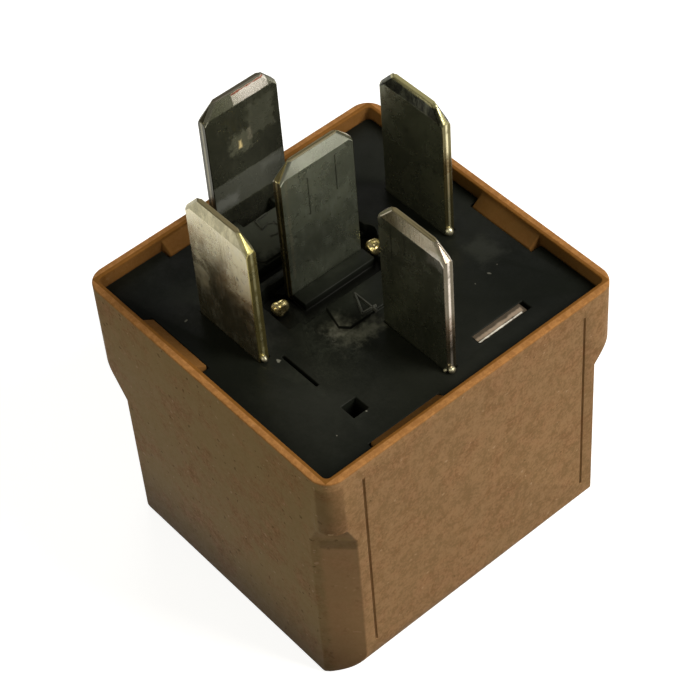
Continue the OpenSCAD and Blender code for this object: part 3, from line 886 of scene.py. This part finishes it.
@dataclass(frozen=True)
class PlainPlastic(Finish):
    """A moulded or lacquered finish for the bobbin and the resistor."""

    name: str = "plain plastic"
    tone: tuple = rgb(0.05, 0.055, 0.07)
    rough: float = 0.45

    def wire(self, graph: Graph, shader: bpy.types.Node) -> None:
        """Feed the shader.

        Args:
            graph: the material's graph.
            shader: its Principled node.
        """
        grain = Grain().use(graph, Fine=6000.0, Coarse=800.0)
        lit = rgb(*(min(1.0, part * 1.5 + 0.01) for part in self.tone[:3]))
        colour = graph.mix(graph.ramp(grain["Mottle"], 0.35, 0.65), self.tone, lit)
        graph.set(shader.inputs["Base Color"], colour)
        polish = graph.ramp(grain["Mottle"], 0.3, 0.7, self.rough, self.rough + 0.12)
        graph.set(shader.inputs["Roughness"], polish)
        self.bump(graph, shader, grain["Height"], 0.00002, 0.3)


@dataclass(frozen=True)
class WoundWire(Finish):
    """Enamelled copper laid in turns across Z, one pitch apart, in metres."""

    name: str = "wound wire"
    pitch: float = 0.00022
    crest: tuple = rgb(0.50, 0.14, 0.045)
    # Painted shade in the valleys between turns.
    valley_shade: tuple = rgb(0.12, 0.025, 0.008)
    cloudy: tuple = rgb(0.30, 0.08, 0.02)

    def wire(self, graph: Graph, shader: bpy.types.Node) -> None:
        """Feed the shader.

        Args:
            graph: the material's graph.
            shader: its Principled node.
        """
        high = graph.axes(graph.place())[2]
        turn = graph.math("SINE", graph.math("MULTIPLY", high, 2 * math.pi / self.pitch))
        crest = graph.ramp(turn, -1.0, 1.0)
        cloud = graph.noise(graph.place((1.0, 1.0, 3.0)), 600.0, 3.0, 0.6)
        # Painted shade: the valleys between turns are darker than the crests.
        colour = graph.cover(graph.mix(crest, self.valley_shade, self.crest), self.cloudy, cloud, 0.3)
        graph.set(shader.inputs["Base Color"], colour)
        graph.set(shader.inputs["Metallic"], 0.6)
        graph.set(shader.inputs["Roughness"], graph.ramp(cloud, 0.3, 0.7, 0.25, 0.4))
        self.bump(graph, shader, crest, 0.00006, 0.8)


# ---------------------------------------------------------------- mesh tools


def put(mesh: bpy.types.Mesh, name: str, finish: Finish) -> bpy.types.Object:
    """Make an object from a mesh, dress it and let it ride on the fixed body.

    Args:
        mesh: the mesh.
        name: the piece's name.
        finish: its finish.

    Returns:
        The new object.
    """
    piece = bpy.data.objects.new(name, mesh)
    bpy.context.scene.collection.objects.link(piece)
    mesh.materials.clear()
    mesh.materials.append(finish.material())
    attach(piece, FIXED_BODY)
    return piece


def smooth(mesh: bpy.types.Mesh, angle: float) -> None:
    """Shade smooth, with edges over an angle kept sharp.

    Args:
        mesh: the mesh.
        angle: degrees.
    """
    mesh.shade_smooth()
    mesh.set_sharp_from_angle(angle=math.radians(angle))


# How the cut corners are found: their reach below the tip, and the cosines that tell
# their slope from an upright and from a level face, and a square edge from a shallow one.
CUT_DROP = 1.6 * MM
LEAN = 0.3
STEEP = 0.95
SQUARE = 0.5
# How a CAD mesh is cleaned: the distance at which corners join, and the degrees between
# two faces that are taken as one.
WELD = 0.001 * MM
FLAT_ANGLE = 0.7


def eased_corners(grid: bmesh.types.BMesh, width: float) -> None:
    """Carry a blade's tip bevel round its two cut corners.

    Args:
        grid: the blade's mesh.
        width: how far the bevel reaches, metres.
    """
    chosen = []
    for edge in grid.edges:
        if len(edge.link_faces) != 2 or min(vert.co.z for vert in edge.verts) < TIP - CUT_DROP:
            continue
        side, cut = sorted((face.normal for face in edge.link_faces), key=lambda normal: normal.z)
        sloped = LEAN < cut.z < STEEP and max(abs(cut.x), abs(cut.y)) > LEAN
        if sloped and side.z < LEAN and abs(side.dot(cut)) < SQUARE:
            chosen.append(edge)
    bmesh.ops.bevel(grid, geom=chosen, offset=width, segments=1, affect="EDGES", profile=0.5,
                    clamp_overlap=True)


def refined(node: str, name: str, width: float, segments: int = 2, angle: float = 30.0,
            crease: float = 32.0, corners: float = 0.0) -> bpy.types.Mesh:
    """Copy a CAD node's mesh and round its sharp edges, inside the node's own box.

    Args:
        node: the CAD node.
        name: the new mesh's name.
        width: how far a rounded edge reaches, metres.
        segments: facets across a rounded edge.
        angle: least angle of an edge that is rounded, degrees.
        crease: least angle of an edge that stays sharp in the shading, degrees.
        corners: reach of the bevel along a blade's cut corners, metres.

    Returns:
        The rounded mesh.
    """
    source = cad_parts[node].data
    grid = bmesh.new()
    grid.from_mesh(source)
    bmesh.ops.remove_doubles(grid, verts=grid.verts, dist=WELD)
    bmesh.ops.dissolve_limit(grid, angle_limit=math.radians(FLAT_ANGLE), verts=grid.verts, edges=grid.edges)
    if corners > 0.0:
        eased_corners(grid, corners)
    mesh = bpy.data.meshes.new(name)
    grid.to_mesh(mesh)
    grid.free()
    piece = bpy.data.objects.new("tool", mesh)
    bpy.context.scene.collection.objects.link(piece)
    round_off = piece.modifiers.new("round", "BEVEL")
    round_off.width = width
    round_off.segments = segments
    round_off.limit_method = "ANGLE"
    round_off.angle_limit = math.radians(angle)
    round_off.use_clamp_overlap = False
    round_off.harden_normals = False
    made = bpy.data.meshes.new_from_object(piece.evaluated_get(bpy.context.evaluated_depsgraph_get()))
    made.name = name
    bpy.data.objects.remove(piece)
    bpy.data.meshes.remove(mesh)
    spans = [[vert.co[axis] for vert in source.vertices] for axis in range(3)]
    box = [(min(span), max(span)) for span in spans]
    for vert in made.vertices:
        vert.co = [min(max(value, low), top) for value, (low, top) in zip(vert.co, box)]
    smooth(made, crease)
    return made


# ---------------------------------------------------------------- sub-assemblies


@dataclass(frozen=True)
class Case:
    """The moulded cover and the base plate that closes it, sizes in metres.

    edge and base_edge are the reach of their rounded edges. The rest is for the snap pads'
    crests: the wall they stand on, the band of height and of distance from it that they lie
    in, how far to either side, and how far they are pushed away from the wall and up.
    """

    edge: float = 0.095 * MM
    base_edge: float = 0.07 * MM
    wall: float = 1.0 * MM
    crest_height: tuple = (-1.1 * MM, 0.15 * MM)
    crest_depth: tuple = (0.2 * MM, 0.8 * MM)
    pad_reach: float = 8.5 * MM
    seat: float = 0.14 * MM
    lift: float = 0.22 * MM

    def build(self) -> list:
        """Make the cover and the base plate.

        Returns:
            The pieces.
        """
        shell = refined("cover", "cover_shell", self.edge, 3)
        self.seat_pads(shell)
        cover = put(shell, "cover_shell", CasePlastic())
        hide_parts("cover")
        moulding = refined("base_plate", "base_moulding", self.base_edge)
        plate = put(moulding, "base_moulding", BasePlastic())
        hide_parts("base_plate")
        return [cover, plate]

    def seat_pads(self, mesh: bpy.types.Mesh) -> None:
        """Push the snap pads' crests away from the wall until they meet the base plate's notches.

        Args:
            mesh: the cover's mesh.
        """
        low, high = (BASE_TOP + offset for offset in self.crest_height)
        near, far = self.crest_depth
        for vert in mesh.vertices:
            if not low < vert.co.z < high:
                continue
            for axis in (0, 1):
                inward = near < CORNER[axis] - self.wall - abs(vert.co[axis]) < far
                if inward and abs(vert.co[1 - axis]) < self.pad_reach:
                    vert.co[axis] -= math.copysign(self.seat, vert.co[axis])
                    vert.co.z += self.lift
                    break


@dataclass(frozen=True)
class Blades:
    """The five punched and plated blades, sizes in metres and angles in degrees."""

    edge: float = 0.045 * MM
    corner: float = 0.24 * MM
    angle: float = 20.0
    crease: float = 9.0

    # Each blade's tones are painted to the light it shows: the plated and lower tones and the tip band as
    # painted reflection, along with the punched edge's tone, its line as painted highlight and its corner as
    # painted light.
    FINISHES = {
        "terminal_85": BladeMetal(
            name="blade 85", middle=(-2.35, 8.6),
            tin_and_reflection=rgb(0.27, 0.28, 0.19), stain_and_reflection=rgb(0.26, 0.27, 0.185), blot=rgb(0.27, 0.28, 0.19),
            band=rgb(0.018, 0.018, 0.010), band_share=1.0, edge=rgb(0.14, 0.12, 0.045),
            line=rgb(0.85, 0.78, 0.48), corner=rgb(0.60, 0.55, 0.28), end=rgb(0.30, 0.27, 0.12),
            # Painted reflection: the thin band along the tip.
            marks=(Mark((0.0, 0.12), (2.6, 0.12), rgb(0.42, 0.38, 0.18), 0.8, 0.06, 0.12),)),
        "terminal_86": BladeMetal(
            name="blade 86", middle=(-2.35, -8.2),
            tin_and_reflection=rgb(0.70, 0.635, 0.42), stain_and_reflection=rgb(0.24, 0.21, 0.13), blot=rgb(0.70, 0.66, 0.52),
            band=rgb(0.17, 0.15, 0.075), edge=rgb(0.30, 0.25, 0.085),
            line=rgb(0.85, 0.78, 0.42), corner=rgb(0.95, 0.85, 0.32),
            stain_and_reflection_low=0.0248, stain_and_reflection_high=0.0283),
        "terminal_30": BladeMetal(
            name="blade 30", middle=(6.95, 0.2),
            tin_and_reflection=rgb(0.24, 0.25, 0.18), stain_and_reflection=rgb(0.16, 0.17, 0.115), blot=rgb(0.28, 0.28, 0.21),
            band=rgb(0.36, 0.30, 0.215), edge=rgb(0.11, 0.09, 0.055),
            line=rgb(0.70, 0.62, 0.54), corner=rgb(0.42, 0.34, 0.26),
            marks=(
                # A painted highlight on the tip's band; the two thin dark marks are scratches.
                Mark((2.3, 1.5), (0.7, 0.5), rgb(0.85, 0.80, 0.72), 0.5, 0.25, 0.7),
                Mark((-1.9, 2.9), (0.05, 1.4), rgb(0.01, 0.01, 0.006), 0.8, 0.05, 0.05),
                Mark((-0.6, 2.2), (0.04, 0.9), rgb(0.01, 0.01, 0.006), 0.8, 0.05, 0.05),
            )),
        "terminal_87": BladeMetal(
            name="blade 87", thin=Thin.X, middle=(0.2, -10.85),
            tin_and_reflection=rgb(0.20, 0.205, 0.14), stain_and_reflection=rgb(0.20, 0.205, 0.15), blot=rgb(0.30, 0.30, 0.22),
            band=rgb(0.26, 0.25, 0.19), band_share=0.85, edge=rgb(0.05, 0.047, 0.027),
            line=rgb(0.22, 0.20, 0.13), corner=rgb(0.07, 0.06, 0.03), end=rgb(0.06, 0.05, 0.03),
            marks=(
                # Painted reflection on the tip's bevel, then a thin reddish line.
                Mark((0.9, 0.62), (1.5, 0.46), rgb(1.0, 0.93, 0.82), 0.95, 0.05, 0.12),
                Mark((0.9, 0.22), (1.5, 0.05), rgb(0.40, 0.10, 0.04), 0.95, 0.04, 0.10),
            ),
            matte_painted_light=(
                # Painted highlight and shadow of the dimple, then painted reflections of blade 87a and the
                # base lower down.
                Mark((-0.35, 4.55), (0.85, 0.8), rgb(0.13, 0.13, 0.09), 0.75, 0.30, 0.8),
                Mark((0.45, 4.2), (0.20, 0.55), rgb(0.36, 0.33, 0.24), 0.7, 0.15, 0.4),
                Mark((1.5, 3.2), (1.0, 1.3), rgb(0.06, 0.062, 0.046), 0.7, 0.30, 0.8),
                Mark((-0.45, 4.7), (0.13, 0.36), rgb(0.95, 0.76, 0.38), 1.0, 0.10, 0.14),
                Mark((0.0, 8.6), (3.2, 1.30), rgb(0.125, 0.130, 0.110), 0.88, 0.10, 0.22),
                Mark((-2.2, 9.15), (1.0, 0.45), rgb(0.33, 0.34, 0.32), 0.75, 0.30, 0.5),
                Mark((2.0, 7.9), (0.9, 0.35), rgb(0.22, 0.225, 0.20), 0.6, 0.30, 0.5),
            )),
        "terminal_87a": BladeMetal(
            name="blade 87a", thin=Thin.X, middle=(0.2, -3.0),
            tin_and_reflection=rgb(0.31, 0.335, 0.245), stain_and_reflection=rgb(0.22, 0.24, 0.175), blot=rgb(0.40, 0.43, 0.34),
            band=rgb(0.25, 0.25, 0.20), band_share=0.85, edge=rgb(0.10, 0.085, 0.04),
            line=rgb(0.50, 0.42, 0.20), corner=rgb(0.22, 0.18, 0.07),
            marks=(
                Mark((-0.9, 3.8), (0.045, 1.7), rgb(0.02, 0.02, 0.012), 0.85, 0.05, 0.02),
                Mark((1.5, 3.2), (0.045, 1.6), rgb(0.02, 0.02, 0.012), 0.85, 0.05, 0.02),
                Mark((-2.7, 5.8), (0.10, 4.6), rgb(0.42, 0.40, 0.28), 0.6, 0.08, 0.15),
            )),
    }

    def build(self) -> list:
        """Make the blades.

        Returns:
            The pieces.
        """
        made = []
        for node, finish in self.FINISHES.items():
            name = node.replace("terminal", "blade")
            mesh = refined(node, name, self.edge, 1, self.angle, self.crease, self.corner)
            piece = put(mesh, name, finish)
            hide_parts(node)
            made.append(piece)
        return made


@dataclass(frozen=True)
class BaseDetails:
    """Raised terminal numerals, plated lugs in the wells beside blade 87a, and the blades' burrs.

    Sizes are in millimetres, and each lump is its x, y, z and radius. crown is a stroke's
    half width at its top and overlap the length past its ends, as shares of its half width.
    ripple is how much a lump swells, as shares of its radius, and waves how fast, in
    radians a metre.
    """

    stroke: float = 0.21
    relief: float = 0.13
    sunk: float = 0.03
    overlap: float = 0.6
    crown: float = 0.4
    pad_top: float = 22.06
    strokes: tuple = (
        ((-9.30, 0.35), (-9.25, -0.62), (-8.35, -0.78), (-8.50, -0.20), (-8.25, 0.25),
         (-7.80, 0.38), (-7.40, 0.15), (-7.25, -0.30), (-7.42, -0.72)),
        ((0.80, -0.16), (2.45, -0.95), (2.55, 0.12)),
        ((0.95, -0.12), (2.95, -0.10)),
    )
    lugs: tuple = ((-2.35, -4.25, 21.25, 0.55), (-2.15, 4.15, 21.35, 0.55))
    burrs: tuple = (
        (-5.60, -8.15, 26.6, 0.34), (0.88, -8.32, 21.98, 0.26), (10.20, 0.05, 22.0, 0.26),
        (0.86, 8.42, 22.0, 0.28), (9.9, -0.25, 21.9, 0.16),
    )
    ripple: tuple = (0.16, 0.14, 0.10)
    waves: tuple = (5200.0, 6100.0, 9000.0, 7000.0)

    NUMERAL = BasePlastic(name="numeral plastic", body=rgb(0.03, 0.032, 0.026), worn=0.85)
    LUG = PlainMetal("lug metal", rgb(0.95, 0.80, 0.42), rgb(0.30, 0.22, 0.08), rough=0.20, scale=2600.0)
    BURR = PlainMetal("burr metal", rgb(0.62, 0.58, 0.42), rgb(0.30, 0.27, 0.18), rough=0.42, scale=3200.0)

    def build(self) -> list:
        """Make the numerals, the lugs and the burrs.

        Returns:
            The pieces.
        """
        return [self.numerals(), self.lumps("side_lugs", self.lugs, self.LUG),
                self.lumps("blade_burrs", self.burrs, self.BURR)]

    def numerals(self) -> bpy.types.Object:
        """Raised strokes with rounded tops.

        Returns:
            The piece.
        """
        grid = bmesh.new()
        low = Vector((0.0, 0.0, (self.pad_top - self.sunk) * MM))
        high = Vector((0.0, 0.0, (self.pad_top + self.relief) * MM))
        half = self.stroke * MM / 2
        for line in self.strokes:
            for start, stop in zip(line, line[1:]):
                a, b = Vector(start).to_3d() * MM, Vector(stop).to_3d() * MM
                ahead = (b - a).normalized()
                aside = Vector((-ahead.y, ahead.x, 0.0)) * half
                a, b = a - ahead * half * self.overlap, b + ahead * half * self.overlap
                rim = aside * self.crown
                foot = [grid.verts.new(spot + low) for spot in (a - aside, b - aside, b + aside, a + aside)]
                top = [grid.verts.new(spot + high) for spot in (a - rim, b - rim, b + rim, a + rim)]
                grid.faces.new(top)
                grid.faces.new(foot[::-1])
                for i in range(4):
                    after = (i + 1) % 4
                    grid.faces.new((foot[i], foot[after], top[after], top[i]))
        mesh = bpy.data.meshes.new("numerals")
        grid.to_mesh(mesh)
        grid.free()
        return put(mesh, "numerals", self.NUMERAL)

    def lumps(self, name: str, spots: tuple, finish: Finish) -> bpy.types.Object:
        """Small uneven lumps of plated metal.

        Args:
            name: the piece's name.
            spots: x, y, z and radius of each, millimetres.
            finish: their finish.

        Returns:
            The piece.
        """
        grid = bmesh.new()
        for x, y, z, radius in spots:
            made = bmesh.ops.create_icosphere(grid, subdivisions=4, radius=radius * MM)
            for vert in made["verts"]:
                along, across, up = vert.co
                turns = (along * self.waves[0] + y, across * self.waves[1] + x,
                         up * self.waves[2] + along * self.waves[3])
                swell = 1.0 + sum(share * math.sin(turn) for share, turn in zip(self.ripple, turns))
                vert.co = vert.co * swell + Vector((x, y, z)) * MM
        mesh = bpy.data.meshes.new(name)
        grid.to_mesh(mesh)
        grid.free()
        smooth(mesh, 60.0)
        return put(mesh, name, finish)


class Works:
    """The magnet, contacts and wiring inside, which keep their CAD meshes."""

    STEEL = PlainMetal("magnet steel", rgb(0.50, 0.50, 0.47), rgb(0.30, 0.30, 0.28), rough=0.36)
    YOKE = PlainMetal("yoke steel", rgb(0.50, 0.50, 0.47), rgb(0.30, 0.30, 0.28), rough=0.36, tab=(
        Mark((9.35, 4.6), (0.14, 2.6), rgb(0.42, 0.32, 0.23), 0.8, 0.08, 0.16),
        Mark((9.60, 4.9), (0.045, 2.1), rgb(0.95, 0.90, 0.78), 0.9, 0.05, 0.08),
    ))
    SILVER = PlainMetal("contact silver", rgb(0.72, 0.71, 0.67), rgb(0.45, 0.44, 0.40), rough=0.30)
    RIVET = PlainMetal("rivet metal", rgb(0.62, 0.52, 0.32), rgb(0.38, 0.30, 0.16), rough=0.34)
    BRONZE = PlainMetal("spring bronze", rgb(0.58, 0.32, 0.15), rgb(0.35, 0.18, 0.08), rough=0.33)
    TINNED = PlainMetal("lead wire", rgb(0.60, 0.60, 0.57), rgb(0.38, 0.38, 0.35), rough=0.35)
    BOBBIN = PlainPlastic("bobbin plastic", rgb(0.04, 0.045, 0.06), rough=0.42)
    COAT = PlainPlastic("resistor coat", rgb(0.22, 0.36, 0.44), rough=0.35)
    FINISHES = {
        "yoke": YOKE, "core": STEEL, "armature": STEEL, "bobbin": BOBBIN,
        "coil_winding": WoundWire(), "coil_end_wires": WoundWire("end wire", 0.0006),
        "resistor_body": COAT, "resistor_leads": TINNED, "spring_rivets": RIVET,
        "armature_rivets": RIVET, "contact_spring": BRONZE, "moving_contact": SILVER,
        "fixed_contact_no": SILVER, "fixed_contact_nc": SILVER,
    }

    def dress(self) -> list:
        """Give each CAD node its finish.

        Returns:
            The dressed pieces.
        """
        made = []
        for node, finish in self.FINISHES.items():
            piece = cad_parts[node]
            for held in piece.material_slots:
                held.material = finish.material()
            made.append(piece)
        return made


# ---------------------------------------------------------------- studio


@dataclass(frozen=True)
class Lamp:
    """One soft lamp that looks at the part, in metres and watts."""

    name: str
    place: tuple
    size: float
    power: float
    colour: tuple


@dataclass(frozen=True)
class Studio:
    """A plain pale floor, soft lamps and the camera.

    Places are in metres, turns in degrees, and the lens and sensor in millimetres. The
    camera sees a pale, glowing floor and a white ground, and metal mirrors the same floor.
    The part's own light comes from the lamps, the even sky and the dull floor.
    """

    eye: tuple = (0.08612, -0.066258, 0.139167)
    turn: tuple = (41.219, 3.245, 48.891)
    lens: float = 120.816
    sensor: float = 36.0
    clip: tuple = (0.01, 20.0)
    aim: tuple = (0.0, 0.0, 0.015)
    floor_reach: float = 3.0
    pale: tuple = rgb(0.62, 0.62, 0.62)
    dull: tuple = rgb(0.12, 0.115, 0.10)
    white: tuple = rgb(1.0, 1.0, 1.0)
    glow: float = 0.82
    sky: tuple = rgb(1.0, 0.98, 0.90)
    ambient: float = 0.16
    lamps: tuple = (
        Lamp("key", (0.26, 0.19, 0.30), 0.22, 1.74, (1.0, 0.97, 0.89)),
        Lamp("front", (0.02, -0.34, 0.26), 0.25, 0.34, (1.0, 0.97, 0.76)),
        Lamp("back", (-0.25, 0.22, 0.30), 0.22, 0.2, (1.0, 0.99, 0.95)),
    )

    def build(self) -> None:
        """Make the floor, lamps, world and camera."""
        self.lay_floor()
        for lamp in self.lamps:
            self.hang(lamp)
        self.light_world()
        self.set_camera()

    def lay_floor(self) -> None:
        """A wide pale floor that keeps the part's shadow."""
        mesh = bpy.data.meshes.new("floor")
        reach = self.floor_reach
        corners = [(-reach, -reach, 0.0), (reach, -reach, 0.0), (reach, reach, 0.0), (-reach, reach, 0.0)]
        mesh.from_pydata(corners, [], [(0, 1, 2, 3)])
        made = bpy.data.materials.new("floor")
        made.use_nodes = True
        graph = Graph(made.node_tree)
        surface = graph.add("ShaderNodeBsdfDiffuse", {"Color": self.pale})
        glow = graph.add("ShaderNodeEmission", {"Color": self.white, "Strength": self.glow})
        path = graph.add("ShaderNodeLightPath")
        dull = graph.add("ShaderNodeBsdfDiffuse", {"Color": self.dull})
        both = graph.add("ShaderNodeAddShader", {0: surface.outputs[0], 1: glow.outputs[0]})
        seen = graph.math("MAXIMUM", path.outputs["Is Camera Ray"], path.outputs["Is Glossy Ray"])
        pick = graph.add("ShaderNodeMixShader", {0: seen, 1: dull.outputs[0], 2: both.outputs[0]})
        output = graph.add("ShaderNodeOutputMaterial")
        graph.set(output.inputs["Surface"], pick.outputs[0])
        mesh.materials.append(made)
        piece = bpy.data.objects.new("floor", mesh)
        bpy.context.scene.collection.objects.link(piece)

    def hang(self, spec: Lamp) -> None:
        """Make one lamp.

        Args:
            spec: its place, size, power and colour.
        """
        data = bpy.data.lights.new(spec.name, "AREA")
        data.shape = "DISK"
        data.size = spec.size
        data.energy = spec.power
        data.color = spec.colour
        piece = bpy.data.objects.new(spec.name, data)
        piece.location = spec.place
        aim = Vector(self.aim) - Vector(spec.place)
        piece.rotation_euler = aim.to_track_quat("-Z", "Y").to_euler()
        bpy.context.scene.collection.objects.link(piece)

    def light_world(self) -> None:
        """Even light from all round, and a white ground behind for the camera."""
        world = bpy.data.worlds.new("studio")
        world.use_nodes = True
        graph = Graph(world.node_tree)
        soft = graph.add("ShaderNodeBackground", {"Color": self.sky, "Strength": self.ambient})
        white = graph.add("ShaderNodeBackground", {"Color": self.white, "Strength": 1.0})
        path = graph.add("ShaderNodeLightPath")
        pick = graph.add("ShaderNodeMixShader", {0: path.outputs["Is Camera Ray"], 1: soft.outputs[0],
                                                 2: white.outputs[0]})
        output = graph.add("ShaderNodeOutputWorld")
        graph.set(output.inputs["Surface"], pick.outputs[0])
        bpy.context.scene.world = world

    def set_camera(self) -> None:
        """Place the camera."""
        data = bpy.data.cameras.new("camera")
        data.lens = self.lens
        data.sensor_width = self.sensor
        data.clip_start, data.clip_end = self.clip
        piece = bpy.data.objects.new("camera", data)
        piece.location = self.eye
        piece.rotation_euler = Euler([math.radians(angle) for angle in self.turn], "XYZ")
        bpy.context.scene.collection.objects.link(piece)
        scene = bpy.context.scene
        scene.camera = piece
        scene.view_settings.view_transform = "Standard"


def report(pieces: list) -> None:
    """Log each piece and its face count.

    Args:
        pieces: the objects.
    """
    for piece in pieces:
        LOG.info("%s: %d faces", piece.name, len(piece.data.polygons))


def main() -> None:
    """Build and dress every sub-assembly, then the studio, logging the face count of each built piece."""
    logging.basicConfig(level=logging.INFO, format="%(message)s")
    report(Case().build())
    report(Blades().build())
    report(BaseDetails().build())
    report(Works().dress())
    Studio().build()


if __name__ == "__main__":
    main()
